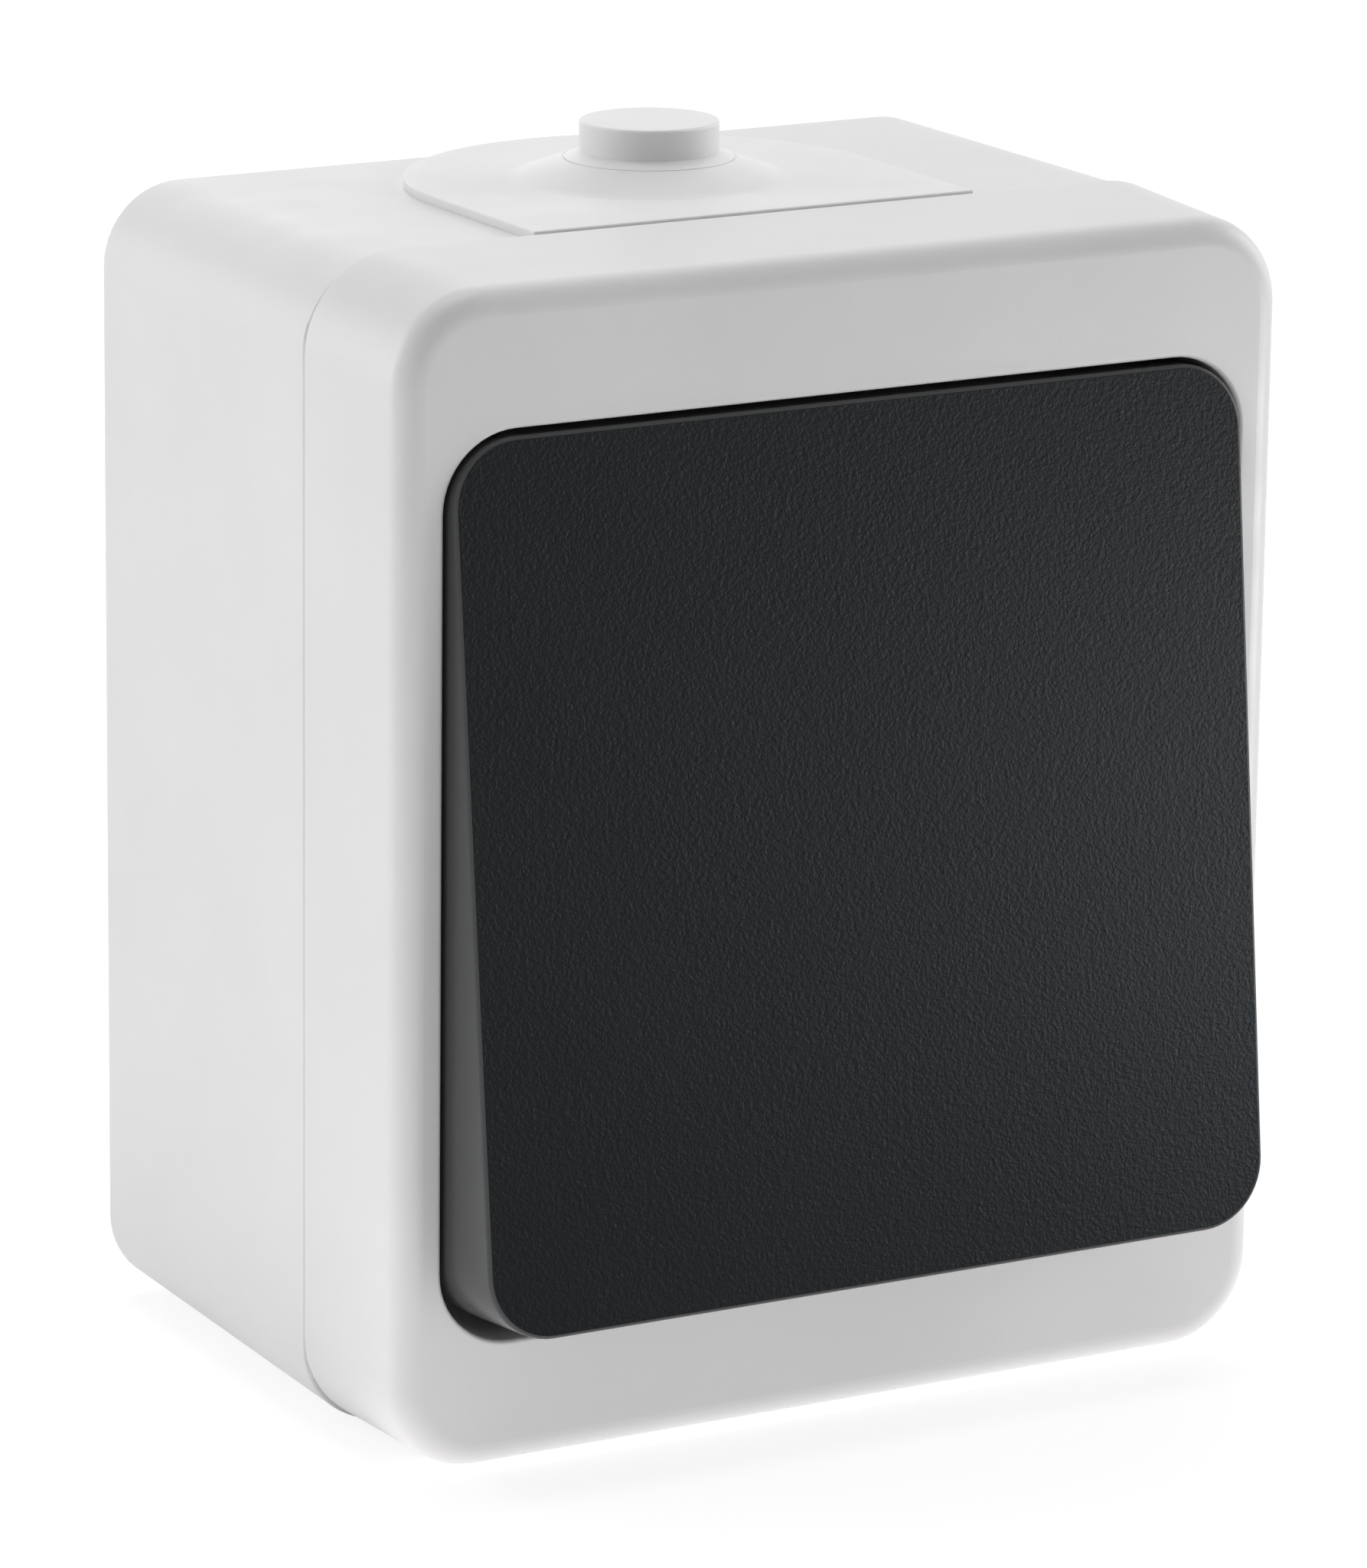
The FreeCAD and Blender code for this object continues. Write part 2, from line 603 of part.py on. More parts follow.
def make_insert_body():
    """The base of the mechanism: a chamber for the contacts, three terminal pockets and two ears."""
    body = new_body("insert_body")
    block(body, "insert_wide", "insert_high", ("0", "0", "insert_rear"), "insert_depth", "insert_corner")
    for x, z in EARS:
        block(body, "ear_reach + insert_corner", "ear_high", (x, z, "insert_rear"), "ear_thick")
        rod(body, "screw_radius + screw_clearance", (x, z, "insert_rear"), "ear_thick", cut=True)
    block(body, "chamber_wide", "chamber_high", ("0", "0", "chamber_floor"), "cap_rear - chamber_floor",
          "insert_corner", cut=True)
    for x, side in TERMINALS:
        pocket = "insert_high / 2 - terminal_start"
        block(body, "terminal_wide", f"2 * ({pocket})", (x, f"{side} * insert_high / 2", "clamp_rear"),
              "cap_rear - clamp_rear", cut=True)
        slit = (x, f"{side} * (terminal_start - terminal_wall / 2)", "chamber_floor")
        block(body, "sheet_wide + 2 * sheet_gap", "2 * terminal_wall", slit, "sheet_thick + sheet_gap",
              cut=True)
    for x, z in RIVETS:
        rod(body, "rivet_radius + screw_gap", (x, z, "insert_rear"), "insert_depth", cut=True)
        rod(body, "rivet_head_radius + screw_gap", (x, z, "insert_rear"), "rivet_head_thick", cut=True)


def make_cable_grommet():
    """The soft grommet, in a frame on the top wall: a web in the slot, two flanges and a closed nipple."""
    body = new_body("cable_grommet")
    body.Placement = FreeCAD.Placement(FreeCAD.Vector(0, -1, 1), TURN)
    bind(body, Placement__Base__y="-box_depth", Placement__Base__z="box_high / 2",
         Placement__Rotation__Angle="box_draft")
    centre = "box_depth - grommet_out"

    def tongue(radius, start, lift, thick):
        """Pad a plate that is round at the back and runs straight to its start near the seam."""
        drawing = new_sketch(body, "XY", ("0", centre, lift))
        draw_tongue(drawing, radius, f"{centre} - ({start})")
        extrude(body, drawing, thick)

    tongue("slot_radius - slot_gap", "seal_deep + slot_gap", "-box_wall", "box_wall")
    tongue("slot_radius + plate_overlap", "slot_gap", "0", "plate_thick")
    plate = measure("plate_thick")
    round_edges(body, "plate_edge", lambda box: is_near(box.ZMin, plate) and is_near(box.ZMax, plate))
    tongue("slot_radius + flange_overlap", "lip_long + lip_gap", "-box_wall - flange_thick", "flange_thick")
    rod(body, "dome_radius", ("0", centre, "plate_thick"), "dome_high - plate_thick", plane="XY",
        taper="atan((dome_radius - nipple_radius) / (dome_high - plate_thick))")
    foot = measure("2 * dome_radius")
    round_edges(body, "dome_blend", lambda box: is_near(box.ZMin, plate) and is_near(box.XLength, foot))
    rod(body, "nipple_radius", ("0", centre, "plate_thick"), "nipple_high - plate_thick", plane="XY")
    top = measure("nipple_high")
    round_edges(body, "nipple_edge", lambda box: is_near(box.ZMin, top) and is_near(box.ZMax, top))
    slope = "(dome_high - plate_thick) / (dome_radius - nipple_radius)"
    groove = f"dome_high - (ring_radius - nipple_radius) * {slope} - ring_deep"
    ring = new_sketch(body, "XY", ("0", centre, groove))
    draw_circle(ring, "ring_radius")
    draw_circle(ring, "ring_radius - ring_wide")
    extrude(body, ring, "dome_high", cut=True)
    under = ("0", centre, "-box_wall - flange_thick")
    rod(body, "dome_radius - grommet_wall", under, "box_wall + flange_thick - grommet_wall", plane="XY",
        cut=True)
    rod(body, "nipple_radius - grommet_wall", under, "box_wall + flange_thick + nipple_high - grommet_wall",
        plane="XY", cut=True)


def make_cover_gasket():
    """The cord seal in the groove of the rim."""
    body = new_body("cover_gasket")
    outer = tuple(f"{text} - {share} * (seal_inset + seal_gap)"
                  for text, share in zip(("box_wide", "box_high", "box_corner"), (2, 2, 1)))
    inner = tuple(f"{text} - {share} * (seal_wide - 2 * seal_gap)" for text, share in zip(outer, (2, 2, 1)))
    frame(body, outer, inner, ("0", "0", "box_depth - seal_deep"), "seal_deep")


def make_terminals():
    """The three sheet parts that carry the contacts to the clamps."""
    sheet_end = "(insert_high / 2 - clamp_gap)"
    for name, side in (("upper_terminal", 1), ("lower_terminal", -1)):
        body = new_body(name)
        block(body, "sheet_wide", f"{sheet_end} - fixed_start",
              ("0", f"{side} * ({sheet_end} + fixed_start) / 2", "chamber_floor"), "sheet_thick")
    body = new_body("common_terminal")
    right = "(common_place + sheet_wide / 2)"
    left = "(lug_in + lug_thick)"
    middle = f"({right} - {left}) / 2"
    block(body, f"{left} + {right}", "sheet_wide", (middle, "0", "chamber_floor"), "sheet_thick")
    block(body, "sheet_wide", f"{sheet_end} + sheet_wide / 2",
          ("common_place", f"({sheet_end} - sheet_wide / 2) / 2", "chamber_floor"), "sheet_thick")
    for side in SIDES:
        middle = f"{side} * (lug_in + lug_thick / 2)"
        block(body, "lug_thick", "lug_high", (middle, "0", "sheet_front"),
              "blade_pivot + lug_rim - sheet_front")
    notch = "blade_pin_radius + blade_pin_gap"
    rod(body, notch, ("-blade_pivot", "0", f"-{left}"), f"2 * {left}", plane="YZ", cut=True)
    block(body, f"2 * {left}", f"2 * ({notch})", ("0", "0", "blade_pivot"), "lug_rim", cut=True)


def make_contact_blade():
    """The see-saw blade, in a frame on its pins, with a stud for the spring and two silver contacts."""
    body = new_body("contact_blade")
    tilt_body(body, "blade_pivot", "-blade_tilt")
    block(body, "blade_wide", "blade_long", ("0", "0", "-blade_thick / 2"), "blade_thick", "blade_corner")
    pin = "(lug_in + lug_thick)"
    rod(body, "blade_pin_radius", ("0", "0", f"-{pin}"), f"2 * {pin}", plane="YZ")
    rod(body, "stud_radius", ("0", "0", "0"), "blade_thick / 2 + stud_high")
    moving = []
    fixed = []
    for side in SIDES:
        tip = new_body("blade_contact", shown=False)
        tilt_body(tip, "blade_pivot", "-blade_tilt")
        rod(tip, "contact_radius", ("0", f"{side} * contact_place", "-blade_thick / 2"), "contact_thick",
            backward=True)
        moving.append(tip)
        seat = new_body("fixed_contact", shown=False)
        rod(seat, "contact_radius", ("0", f"{side} * fixed_contact_place", "sheet_front"),
            "fixed_contact_thick")
        fixed.append(seat)
    new_group("blade_contacts", moving)
    new_group("fixed_contacts", fixed)


def make_toggle_spring():
    """The coil spring from the blade to the inner rocker."""
    body = new_body("toggle_spring")
    rise = "(pivot_out - spring_seat * cos(rocker_tilt) - blade_pivot - blade_thick / 2 * cos(blade_tilt))"
    drift = "(blade_thick / 2 * sin(blade_tilt) - spring_seat * sin(rocker_tilt))"
    body.Placement = FreeCAD.Placement(FreeCAD.Vector(0, -1, 0), TURN.inverted())
    bind(body, Placement__Base__y="-blade_pivot - blade_thick / 2 * cos(blade_tilt)",
         Placement__Base__z="-blade_thick / 2 * sin(blade_tilt)",
         Placement__Rotation__Angle=f"90 deg - atan({drift} / {rise})")
    end = "(spring_wire + spring_end_gap)"
    drawing = new_sketch(body, "XZ", ("spring_radius", end, "0"))
    draw_circle(drawing, "spring_wire")
    coil = body.newObject("PartDesign::AdditiveHelix", "Coil")
    coil.Profile = drawing
    coil.ReferenceAxis = (next(item for item in body.Origin.OriginFeatures if item.Role == "Z_Axis"), [""])
    coil.Mode = "height-turns-angle"
    bind(coil, Height=f"sqrt({rise}^2 + {drift}^2) - 2 * {end}", Turns="spring_turns")
    doc.recompute()


def make_clamps():
    """The three wire clamps and their screws."""
    clamps = []
    screws = []
    for x, side in TERMINALS:
        z = f"{side} * (terminal_start + insert_high / 2) / 2"
        clamp = new_body("terminal_clamp", shown=False)
        block(clamp, "clamp_wide", "clamp_long", (x, z, "clamp_rear"),
              "clamp_base + sheet_thick + clamp_mouth + clamp_front")
        block(clamp, "clamp_wide - 2 * clamp_wall", "clamp_long", (x, z, "chamber_floor"),
              "sheet_thick + clamp_mouth", cut=True)
        thread = (x, z, "sheet_front + clamp_mouth")
        rod(clamp, "clamp_screw_radius + screw_gap", thread, "clamp_front", cut=True)
        clamps.append(clamp)
        screw = new_body("terminal_screw", shown=False)
        tip = "(sheet_front + wire_gap)"
        head = "(sheet_front + clamp_mouth + clamp_front + clamp_screw_lift)"
        rod(screw, "clamp_screw_radius", (x, z, tip), f"{head} - {tip}")
        rod(screw, "clamp_screw_head_radius", (x, z, head), "clamp_screw_head_high")
        top = (x, z, f"{head} + clamp_screw_head_high")
        block(screw, "2 * clamp_screw_head_radius", "screw_slot_wide", top, "screw_slot_deep", cut=True,
              backward=True)
        screws.append(screw)
    new_group("terminal_clamps", clamps)
    new_group("terminal_screws", screws)


def make_screws(name, places, seat, length):
    """A pair of slotted screws whose heads lie on a seat."""
    screws = []
    for x, z in places:
        screw = new_body(name, shown=False)
        rod(screw, "screw_radius", (x, z, seat), length, backward=True)
        rod(screw, "screw_head_radius", (x, z, seat), "screw_head_high")
        block(screw, "2 * screw_head_radius", "screw_slot_wide", (x, z, f"{seat} + screw_head_high"),
              "screw_slot_deep", cut=True, backward=True)
        screws.append(screw)
    new_group(name + "s", screws)


def make_cap_rivets():
    """Two rivets with flush heads through the cap and the body."""
    rivets = []
    for x, z in RIVETS:
        rivet = new_body("cap_rivet", shown=False)
        rod(rivet, "rivet_radius", (x, z, "insert_rear"), "cap_front - insert_rear")
        rod(rivet, "rivet_head_radius", (x, z, "insert_rear"), "rivet_head_thick")
        rod(rivet, "rivet_head_radius", (x, z, "cap_front"), "rivet_head_thick", backward=True)
        rivets.append(rivet)
    new_group("cap_rivets", rivets)


make_rear_box()
make_front_cover()
make_rocker()
make_inner_rocker()
make_rocker_boot()
make_insert_cap()
make_insert_body()
make_cable_grommet()
make_cover_gasket()
make_terminals()
make_contact_blade()
make_toggle_spring()
make_clamps()
make_screws("cover_screw", COVER_SCREWS, "floor_front", "cover_screw_long")
make_screws("insert_screw", EARS, "(insert_rear + ear_thick)", "insert_screw_long")
make_cap_rivets()
doc.recompute()

for item in doc.Objects:
    if {"Invalid", "Error"} & set(item.State):
        raise RuntimeError(f"{item.Label} failed: {item.State}")
for part in parts:
    if part.Shape.isNull() or not part.Shape.isValid():
        raise RuntimeError(f"{part.Label} has no valid shape")

os.makedirs("parts", exist_ok=True)
for part in parts:
    part.Shape.exportStep(f"parts/{part.Label}.step")
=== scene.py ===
"""Looks of the weatherproof light switch: finishes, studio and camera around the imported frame.

Metres, in the frame of the part: X to the right, Y into the wall, Z up.
"""
import json
import math

import bpy
from mathutils import Matrix, Vector


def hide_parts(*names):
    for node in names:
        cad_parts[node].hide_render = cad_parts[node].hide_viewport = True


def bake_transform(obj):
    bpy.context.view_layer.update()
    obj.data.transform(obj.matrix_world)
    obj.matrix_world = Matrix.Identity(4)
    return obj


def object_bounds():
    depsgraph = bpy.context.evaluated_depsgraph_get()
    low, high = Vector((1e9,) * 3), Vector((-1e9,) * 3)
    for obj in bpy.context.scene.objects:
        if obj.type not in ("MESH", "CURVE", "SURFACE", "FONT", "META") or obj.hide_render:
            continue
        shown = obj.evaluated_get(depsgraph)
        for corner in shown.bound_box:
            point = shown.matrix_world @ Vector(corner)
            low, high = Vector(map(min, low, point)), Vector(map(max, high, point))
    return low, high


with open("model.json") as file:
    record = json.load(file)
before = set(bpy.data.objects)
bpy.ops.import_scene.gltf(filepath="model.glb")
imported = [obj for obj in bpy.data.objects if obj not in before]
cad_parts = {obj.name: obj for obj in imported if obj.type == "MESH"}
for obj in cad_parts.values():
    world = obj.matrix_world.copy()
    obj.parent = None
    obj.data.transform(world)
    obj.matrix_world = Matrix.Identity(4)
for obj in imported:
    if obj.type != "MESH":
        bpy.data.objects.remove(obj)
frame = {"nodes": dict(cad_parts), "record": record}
cad_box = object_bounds()

MM = 0.001


def grey(level, warm=0.0):
    """A grey of this level, turned a little warmer or cooler."""
    return (level * (1 + warm), level, level * (1 - warm), 1.0)


class Finish:
    """One material and the nodes that its pattern is built from."""

    def __init__(self, name):
        self.material = bpy.data.materials.new(name)
        self.material.use_nodes = True
        self.nodes = self.material.node_tree.nodes
        self.links = self.material.node_tree.links
        self.shader = self.nodes["Principled BSDF"]
        self.place = self.add("ShaderNodeTexCoord")

    def add(self, kind, **settings):
        """Add a node, with its plain settings."""
        node = self.nodes.new(kind)
        for name, value in settings.items():
            setattr(node, name, value)
        return node

    def feed(self, source, socket):
        """Link an output to an input."""
        self.links.new(source, socket)

    def set(self, **values):
        """Set constant inputs of the shader. An underscore stands for a space."""
        for name, value in values.items():
            self.shader.inputs[name.replace("_", " ")].default_value = value

    def use(self, **outputs):
        """Link patterns to inputs of the shader. An underscore stands for a space."""
        for name, source in outputs.items():
            self.feed(source, self.shader.inputs[name.replace("_", " ")])

    def noise(self, grain, detail=2.0, roughness=0.5, stretch=None):
        """A noise whose blobs are about one grain wide."""
        node = self.add("ShaderNodeTexNoise")
        node.inputs["Scale"].default_value = 1 / grain
        node.inputs["Detail"].default_value = detail
        node.inputs["Roughness"].default_value = roughness
        place = self.place.outputs["Object"]
        if stretch:
            mapping = self.add("ShaderNodeMapping")
            mapping.inputs["Scale"].default_value = stretch
            self.feed(place, mapping.inputs["Vector"])
            place = mapping.outputs["Vector"]
        self.feed(place, node.inputs["Vector"])
        return node.outputs["Fac"]

    def cells(self, grain):
        """Rounded cells about one grain wide."""
        node = self.add("ShaderNodeTexVoronoi", feature="SMOOTH_F1")
        node.inputs["Scale"].default_value = 1 / grain
        self.feed(self.place.outputs["Object"], node.inputs["Vector"])
        return node.outputs["Distance"]

    def ramp(self, source, low=0.0, high=1.0, start=0.3, end=0.7):
        """Turn a pattern into a number between two values."""
        node = self.add("ShaderNodeMapRange")
        node.inputs["From Min"].default_value = start
        node.inputs["From Max"].default_value = end
        node.inputs["To Min"].default_value = low
        node.inputs["To Max"].default_value = high
        self.feed(source, node.inputs["Value"])
        return node.outputs["Result"]

    def math(self, operation, first, second):
        """Join two patterns, or a pattern and a number."""
        node = self.add("ShaderNodeMath", operation=operation)
        for socket, value in zip(node.inputs, (first, second)):
            if isinstance(value, (int, float)):
                socket.default_value = value
            else:
                self.feed(value, socket)
        return node.outputs["Value"]

    def colours(self, source, first, second):
        """Blend between two colours, or patterns of them, by a pattern."""
        node = self.add("ShaderNodeMix", data_type="RGBA")
        self.feed(source, node.inputs["Factor"])
        sockets = [socket for socket in node.inputs if socket.type == "RGBA"]
        for socket, colour in zip(sockets, (first, second)):
            if isinstance(colour, tuple):
                socket.default_value = colour
            else:
                self.feed(colour, socket)
        return next(socket for socket in node.outputs if socket.type == "RGBA")

    def bump(self, source, height, below=None):
        """Raise the surface by a pattern, this high, over a coarser one."""
        node = self.add("ShaderNodeBump")
        node.inputs["Distance"].default_value = height
        self.feed(source, node.inputs["Height"])
        if below is not None:
            self.feed(below, node.inputs["Normal"])
        return node.outputs["Normal"]

    def facing(self, direction, start, end):
        """One where the surface faces a direction of the piece, and none where it turns away."""
        node = self.add("ShaderNodeVectorMath", operation="DOT_PRODUCT")
        node.inputs[1].default_value = direction
        self.feed(self.place.outputs["Normal"], node.inputs[0])
        return self.ramp(node.outputs["Value"], start=start, end=end)


# Colours, each pair the two ends of a faint variation
HOUSING_GREYS = (0.742, 0.730, 0.731, 1), (0.772, 0.760, 0.761, 1)
ROCKER_FACE = (0.0050, 0.0060, 0.0074, 1), (0.0062, 0.0074, 0.0090, 1)
# The skirts' grey is painted light: the same plastic as the face, painted lighter to stand in for the light on
# the rocker's sides
ROCKER_SKIRT_PAINTED_LIGHTER = (0.077, 0.078, 0.079, 1)
ROCKER_SHEEN = (0.88, 0.95, 1.0, 1)
GROMMET_GREYS = grey(0.80), grey(0.83)
SEAL_BLACKS = grey(0.012), grey(0.022)
BASE_GREYS = grey(0.02), grey(0.03)
CAP_WHITES = grey(0.56, 0.03), grey(0.62, 0.03)
BRASSES = (0.72, 0.5, 0.2, 1), (0.6, 0.38, 0.14, 1)
SILVERS = grey(0.82), grey(0.68, 0.03)
ZINCS = grey(0.62, -0.01), grey(0.5, 0.02)

# The rocker's face leans back at rest, and the stipple ends where the surface turns away from it
ROCKER_TILT = math.radians(6.2)
FACE_WAY = (0, -math.cos(ROCKER_TILT), math.sin(ROCKER_TILT))
FACE_ENDS, FACE_BEGINS = 0.97, 0.995
PIT_SHARE = 0.5


def make_housing_plastic():
    """Light grey moulded plastic: a very fine matt skin and faint flow clouds."""
    finish = Finish("housing_plastic")
    finish.set(IOR=1.5, Subsurface_Weight=0.12, Subsurface_Radius=(1.0, 0.95, 0.9), Subsurface_Scale=1.2 * MM)
    clouds = finish.ramp(finish.noise(grain=16 * MM, detail=3.0))
    finish.use(Base_Color=finish.colours(clouds, *HOUSING_GREYS))
    finish.use(Roughness=finish.ramp(finish.noise(grain=5 * MM), low=0.38, high=0.46))
    waves = finish.bump(finish.noise(grain=6 * MM), height=0.006 * MM)
    skin = finish.noise(grain=0.22 * MM, detail=3.0)
    finish.use(Normal=finish.bump(skin, height=0.006 * MM, below=waves))
    return finish.material


def make_rocker_plastic():
    """Anthracite plastic: a spark-eroded stipple on the face, and smooth skirts whose lighter colour is painted
    light for the side light that falls on them.
    """
    finish = Finish("rocker_plastic")
    finish.set(Specular_IOR_Level=0.112, Specular_Tint=ROCKER_SHEEN)
    face = finish.facing(FACE_WAY, start=FACE_ENDS, end=FACE_BEGINS)
    pits = finish.cells(grain=0.34 * MM)
    specks = finish.noise(grain=0.21 * MM, detail=3.0, roughness=0.6)
    stipple = finish.math("ADD", finish.math("MULTIPLY", pits, PIT_SHARE), specks)
    stipple = finish.math("MULTIPLY", stipple, face)
    clouds = finish.ramp(finish.noise(grain=9 * MM, detail=3.0))
    face_colour = finish.colours(clouds, *ROCKER_FACE)
    # The skirts take a lighter colour than the face: painted light for the light falling on the rocker's sides
    finish.use(Base_Color=finish.colours(face, ROCKER_SKIRT_PAINTED_LIGHTER, face_colour))
    face_specks = finish.math("MULTIPLY", face, specks)
    finish.use(Roughness=finish.ramp(face_specks, low=0.22, high=0.44, start=0.0, end=0.5))
    finish.use(Normal=finish.bump(stipple, height=0.065 * MM))
    return finish.material


def make_grommet_rubber():
    """Soft white rubber-like plastic, a little waxy."""
    finish = Finish("grommet_rubber")
    finish.set(IOR=1.48, Subsurface_Weight=0.25, Subsurface_Radius=(1.0, 0.97, 0.94), Subsurface_Scale=1.5 * MM)
    clouds = finish.ramp(finish.noise(grain=7 * MM))
    finish.use(Base_Color=finish.colours(clouds, *GROMMET_GREYS))
    finish.use(Roughness=finish.ramp(finish.noise(grain=3 * MM), low=0.46, high=0.56))
    finish.use(Normal=finish.bump(finish.noise(grain=0.3 * MM), height=0.006 * MM))
    return finish.material


def make_seal_rubber():
    """Black rubber with a dull bloom."""
    finish = Finish("seal_rubber")
    bloom = finish.ramp(finish.noise(grain=2 * MM, detail=3.0))
    finish.use(Base_Color=finish.colours(bloom, *SEAL_BLACKS))
    finish.use(Roughness=finish.ramp(finish.noise(grain=0.8 * MM), low=0.62, high=0.78))
    finish.use(Normal=finish.bump(finish.noise(grain=0.2 * MM), height=0.01 * MM))
    return finish.material


def make_moulding(name, colours):
    """Plain moulded plastic of the mechanism, with flow lines along its height."""
    finish = Finish(name)
    flow = finish.ramp(finish.noise(grain=4 * MM, detail=3.0, stretch=(1, 1, 0.3)))
    finish.use(Base_Color=finish.colours(flow, *colours))
    finish.use(Roughness=finish.ramp(finish.noise(grain=1.5 * MM), low=0.4, high=0.55))
    finish.use(Normal=finish.bump(finish.noise(grain=0.25 * MM), height=0.008 * MM))
    return finish.material


def make_metal(name, colours, smoothest, roughest, stretch):
    """Rolled or plated metal, with fine lines along one way and faint stains."""
    finish = Finish(name)
    finish.set(Metallic=1.0)
    stains = finish.ramp(finish.noise(grain=1.8 * MM, detail=4.0))
    finish.use(Base_Color=finish.colours(stains, *colours))
    lines = finish.noise(grain=0.15 * MM, detail=3.0, stretch=stretch)
    finish.use(Roughness=finish.ramp(lines, low=smoothest, high=roughest))
    finish.use(Normal=finish.bump(lines, height=0.004 * MM))
    return finish.material


FINISHES = {
    "housing": make_housing_plastic(),
    "rocker": make_rocker_plastic(),
    "grommet": make_grommet_rubber(),
    "seal": make_seal_rubber(),
    "mechanism_dark": make_moulding("mechanism_dark_plastic", BASE_GREYS),
    "mechanism_light": make_moulding("mechanism_light_plastic", CAP_WHITES),
    "brass": make_metal("brass_sheet", BRASSES, smoothest=0.2, roughest=0.38, stretch=(1, 1, 0.08)),
    "silver": make_metal("silver_contact", SILVERS, smoothest=0.17, roughest=0.35, stretch=(1, 0.2, 1)),
    "steel": make_metal("zinc_steel", ZINCS, smoothest=0.26, roughest=0.44, stretch=(0.2, 1, 1)),
}
for part in frame["record"]["subparts"]:
    piece = frame["nodes"][part["node"]]
    piece.data.materials.clear()
    piece.data.materials.append(FINISHES[part["material_slot"]])

# Pieces that bend across a joint: each takes its shape from the solid
MERGE_GAP = 0.001 * MM
SMOOTH_BELOW = math.radians(35)
BOOT_CUTS, SPRING_CUTS = 2, 0


def make_bending_piece(name, node, cuts):
    """A copy of a solid with its triangles joined and cut finer, so that it can bend."""
    piece = bpy.data.objects.new(name, frame["nodes"][node].data.copy())
    bpy.context.scene.collection.objects.link(piece)
    bpy.ops.object.select_all(action="DESELECT")
    bpy.context.view_layer.objects.active = piece
    piece.select_set(True)
    bpy.ops.object.mode_set(mode="EDIT")
    bpy.ops.mesh.select_all(action="SELECT")
    bpy.ops.mesh.customdata_custom_splitnormals_clear()
    bpy.ops.mesh.remove_doubles(threshold=MERGE_GAP)
    if cuts:
        bpy.ops.mesh.subdivide(number_cuts=cuts)
    bpy.ops.object.mode_set(mode="OBJECT")
    bpy.ops.object.shade_smooth_by_angle(angle=SMOOTH_BELOW)
    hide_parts(node)
    return piece


boot = make_bending_piece("rubber_boot", "rocker_boot", BOOT_CUTS)
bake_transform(boot)
spring = make_bending_piece("coil_spring", "toggle_spring", SPRING_CUTS)
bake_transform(spring)

# Camera, fitted to the outline of the object in the photograph
LENS = 188.51
AZIMUTH, ELEVATION, ROLL = math.radians(-28.969), math.radians(15.087), math.radians(0.696)
DISTANCE = 556.18 * MM
AIM = Vector((0, -27 * MM, 0))
ASIDE, ABOVE = 2.173 * MM, 0.057 * MM

back = Vector((math.sin(AZIMUTH) * math.cos(ELEVATION), -math.cos(AZIMUTH) * math.cos(ELEVATION),
               math.sin(ELEVATION)))
level = Vector((0, 0, 1)).cross(back).normalized()
upright = back.cross(level)
right = level * math.cos(ROLL) + upright * math.sin(ROLL)
up = upright * math.cos(ROLL) - level * math.sin(ROLL)
lens = bpy.data.cameras.new("camera")
lens.lens = LENS
camera = bpy.data.objects.new("camera", lens)
camera.matrix_world = Matrix((right, up, back)).transposed().to_4x4()
camera.location = AIM + back * DISTANCE - right * ASIDE - up * ABOVE
bpy.context.scene.collection.objects.link(camera)
bpy.context.scene.camera = camera

# Floor: paper that takes part in the light, and that shows as white with a soft shadow
FLOOR_SIZE = 1.4
FLOOR_GAP = 0.1 * MM
PAPER = grey(0.9)
SHADOW_PAPER = grey(0.3)
PAPER_GLOW = 0.82

bpy.ops.object.select_all(action="DESELECT")
bpy.ops.mesh.primitive_plane_add(size=FLOOR_SIZE, location=(0, 0, cad_box[0][2] - FLOOR_GAP))
floor = bpy.context.object
floor.name = "floor"


def add_seen_mask(tree):
    """One for what the camera sees, straight, in a gloss or through a clear piece, and none for other light."""
    path = tree.nodes.new("ShaderNodeLightPath")
    mask = path.outputs["Is Camera Ray"]
    for kind in ("Is Glossy Ray", "Is Transmission Ray"):
        either = tree.nodes.new("ShaderNodeMath")
        either.operation = "MAXIMUM"
        tree.links.new(mask, either.inputs[0])
        tree.links.new(path.outputs[kind], either.inputs[1])
        mask = either.outputs[0]
    return mask


def make_floor_paper():
    """White paper that the camera sees as white, with a soft shadow under the object."""
    material = bpy.data.materials.new("floor_paper")
    material.use_nodes = True
    nodes = material.node_tree.nodes
    links = material.node_tree.links
    nodes.clear()
    lit = nodes.new("ShaderNodeBsdfDiffuse")
    lit.inputs["Color"].default_value = PAPER
    shade = nodes.new("ShaderNodeBsdfDiffuse")
    shade.inputs["Color"].default_value = SHADOW_PAPER
    glow = nodes.new("ShaderNodeEmission")
    glow.inputs["Strength"].default_value = PAPER_GLOW
    sheet = nodes.new("ShaderNodeAddShader")
    links.new(shade.outputs[0], sheet.inputs[0])
    links.new(glow.outputs[0], sheet.inputs[1])
    mix = nodes.new("ShaderNodeMixShader")
    links.new(add_seen_mask(material.node_tree), mix.inputs["Fac"])
    links.new(lit.outputs[0], mix.inputs[1])
    links.new(sheet.outputs[0], mix.inputs[2])
    output = nodes.new("ShaderNodeOutputMaterial")
    links.new(mix.outputs[0], output.inputs["Surface"])
    return material


floor.data.materials.append(make_floor_paper())

# World: a low even light, seen as white
WORLD_LEVEL, WHITE = 0.15, 1.0

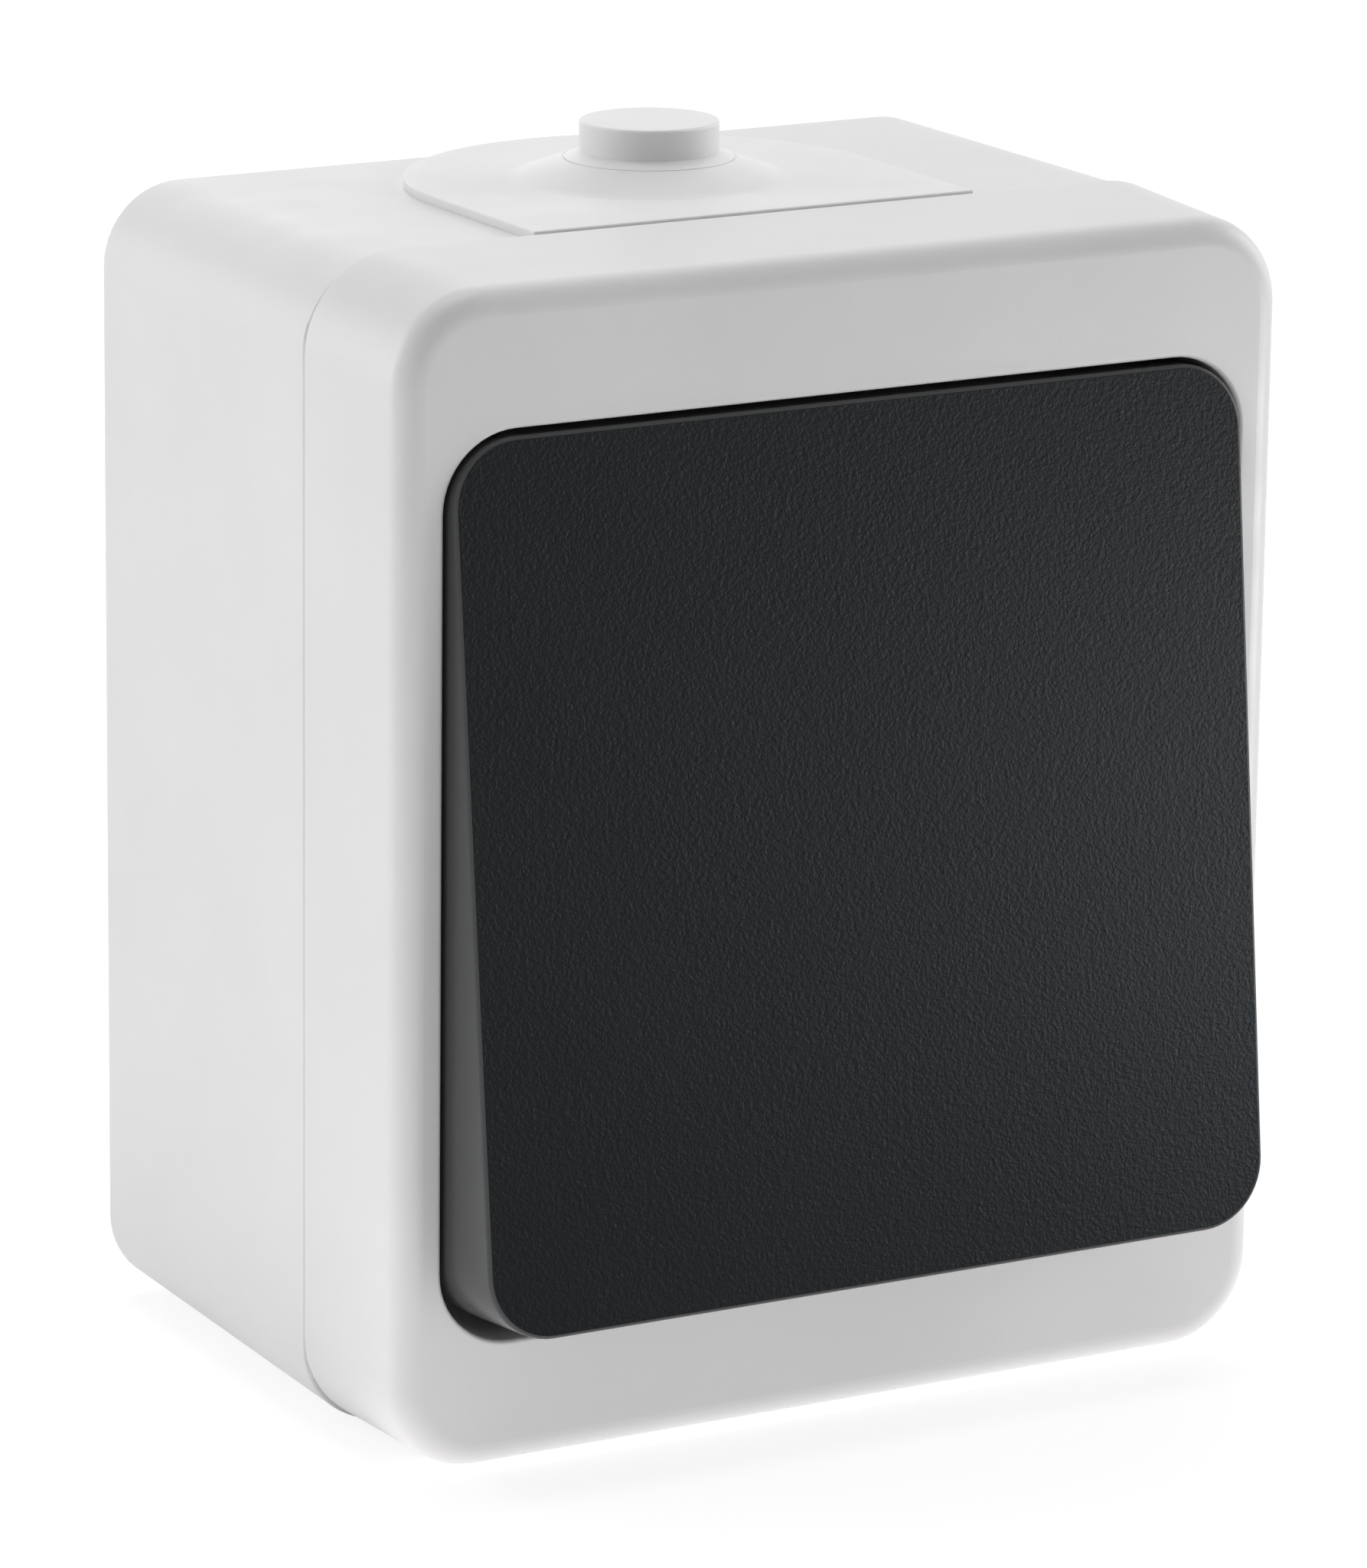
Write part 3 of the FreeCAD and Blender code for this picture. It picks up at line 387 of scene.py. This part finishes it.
world = bpy.data.worlds.new("studio")
world.use_nodes = True
bpy.context.scene.world = world
sky = world.node_tree.nodes["Background"]
sky.inputs["Color"].default_value = grey(WHITE)
strength = world.node_tree.nodes.new("ShaderNodeMapRange")
strength.inputs["To Min"].default_value = WORLD_LEVEL
strength.inputs["To Max"].default_value = WHITE
world.node_tree.links.new(add_seen_mask(world.node_tree), strength.inputs["Value"])
world.node_tree.links.new(strength.outputs[0], sky.inputs["Strength"])

# Softboxes that face the object: name, place, width and height of the sheet, watts
SOFTBOXES = (
    ("left_softbox", (-1.0, 0.8, 0.3), 0.8, 6.6),
    ("top_softbox", (0.0, 0.1, 1.3), 0.8, 6.75),
    ("top_rear_softbox", (0.7, 0.7, 1.0), 0.8, 2.25),
    ("rear_softbox", (0.2, 1.2, 0.5), 0.8, 1.5),
    ("right_softbox", (1.3, -0.2, 0.3), 1.0, 10.2),
    ("left_front_softbox", (-1.2, -0.4, 0.4), 0.8, 1.55),
)
# Light that the white table throws back at the foot of the object: name, x, y, width, depth, watts
TABLE_GLOWS = (
    ("front_table_glow", 0.02, -0.09, 0.3, 0.1, 0.0665),
    ("left_table_glow", -0.33, 0.05, 0.58, 0.7, 0.36),
)
TABLE = cad_box[0][2] - 0.5 * FLOOR_GAP
OVERHEAD = 1.0


def add_lamp(name, place, aim, wide, high, power):
    """A lit sheet that faces a point, and that the camera doesn't see."""
    light = bpy.data.lights.new(name, "AREA")
    light.shape = "RECTANGLE"
    light.size, light.size_y = wide, high
    light.energy = power
    lamp = bpy.data.objects.new(name, light)
    lamp.location = place
    lamp.rotation_euler = (Vector(place) - Vector(aim)).to_track_quat("Z", "Y").to_euler()
    lamp.visible_camera = False
    bpy.context.scene.collection.objects.link(lamp)
    return lamp


for name, place, size, power in SOFTBOXES:
    add_lamp(name, place, AIM, size, size, power)

# A card that only shows as a sheen, which lightens the rocker's face towards the lower right
card = add_lamp("side_card", place=(0.1, -0.1, -0.01), aim=AIM, wide=0.06, high=0.05, power=0.089)
card.visible_diffuse = False

for name, x, y, wide, deep, power in TABLE_GLOWS:
    glow = add_lamp(name, (x, y, TABLE), (x, y, OVERHEAD), wide, deep, power)
    glow.visible_glossy = False

bpy.context.scene.view_settings.view_transform = "Standard"
